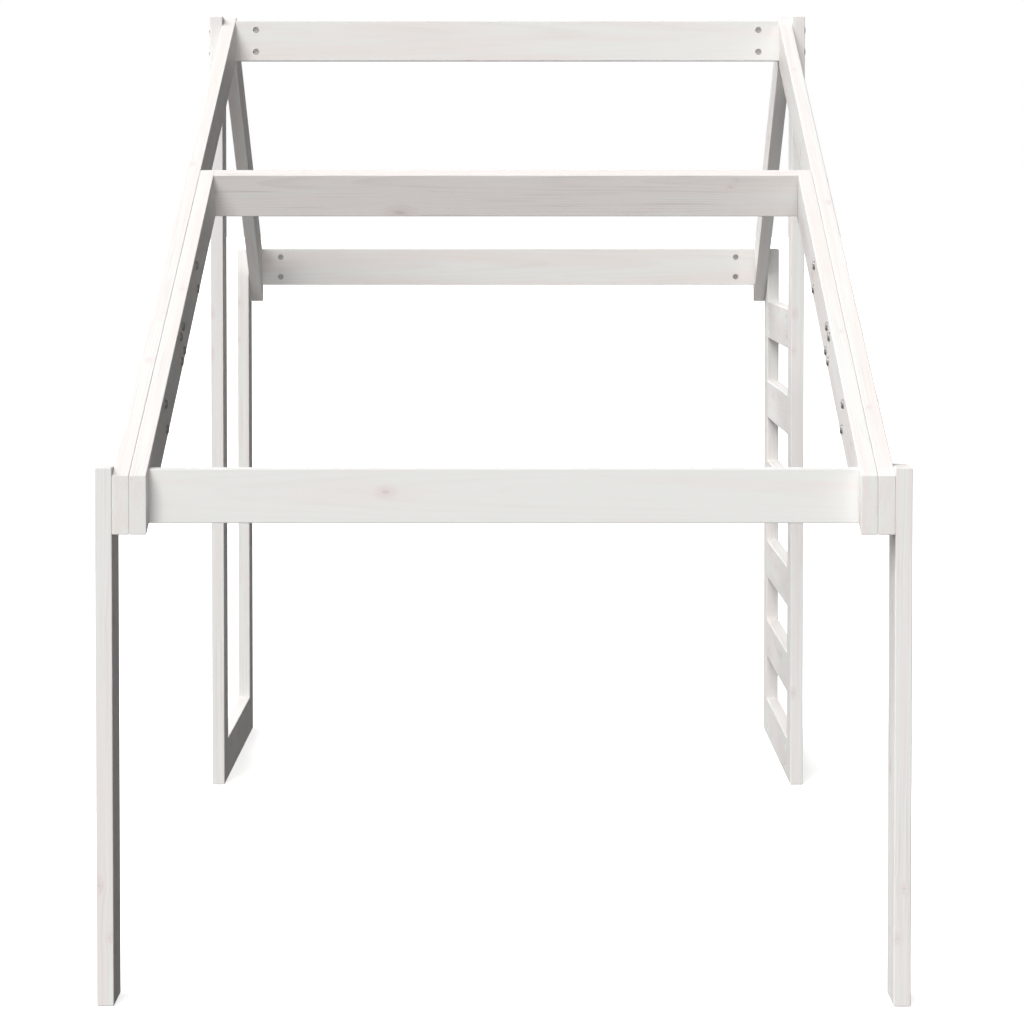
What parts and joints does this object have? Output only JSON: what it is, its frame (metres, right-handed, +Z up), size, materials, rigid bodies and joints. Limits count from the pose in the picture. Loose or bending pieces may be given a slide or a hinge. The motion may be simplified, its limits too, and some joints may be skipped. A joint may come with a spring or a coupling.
{
  "type": "children's bed canopy frame with ladder",
  "caption": "Free-standing gabled canopy frame of white-washed pine boards for a child's bed, with a short ladder panel built into one side.",
  "frame": {"origin": "on the floor at the middle of the footprint", "axes": "+Z up, +Y from the low front end to the back, +X to the ladder side"},
  "size_m": [1.046, 2.1, 1.35],
  "materials": {
    "white_washed_pine": "planed pine with a thin white wash, satin",
    "dowel_wood": "bare turned beech",
    "bolt_steel": "bright zinc plate",
    "nut_steel": "dull zinc plate"
  },
  "bodies": {
    "root": {"eave_barrel_nuts": "nut_steel", "eave_bolts": "bolt_steel", "front_eave_beam": "white_washed_pine", "front_post_left": "white_washed_pine", "front_post_right": "white_washed_pine", "ladder_barrel_nuts": "nut_steel", "ladder_dowels": "dowel_wood", "ladder_rung_1": "white_washed_pine", "ladder_rung_2": "white_washed_pine", "ladder_rung_3": "white_washed_pine", "ladder_rung_4": "white_washed_pine", "ladder_rung_5": "white_washed_pine", "ladder_rung_6": "white_washed_pine", "ladder_studs": "bolt_steel", "middle_purlin": "white_washed_pine", "purlin_barrel_nuts": "nut_steel", "purlin_bolts": "bolt_steel", "rafter_bolts_left": "bolt_steel", "rafter_bolts_right": "bolt_steel", "rafter_inner_left": "white_washed_pine", "rafter_inner_right": "white_washed_pine", "rafter_outer_lower_left": "white_washed_pine", "rafter_outer_lower_right": "white_washed_pine", "rafter_outer_upper_left": "white_washed_pine", "rafter_outer_upper_right": "white_washed_pine", "rafter_sleeve_nuts_left": "nut_steel", "rafter_sleeve_nuts_right": "nut_steel", "rear_beam_barrel_nuts": "nut_steel", "rear_beam_bolts": "bolt_steel", "rear_eave_beam": "white_washed_pine", "rear_post_left": "white_washed_pine", "rear_post_right": "white_washed_pine", "rear_rafter_left": "white_washed_pine", "rear_rafter_right": "white_washed_pine", "rear_rafter_screws": "bolt_steel", "ridge_barrel_nuts": "nut_steel", "ridge_beam": "white_washed_pine", "ridge_bolts": "bolt_steel", "ridge_post_left": "white_washed_pine", "ridge_post_right": "white_washed_pine", "side_sill_rail": "white_washed_pine", "sill_barrel_nuts": "nut_steel", "sill_studs": "bolt_steel"}
  },
  "joints": []
}
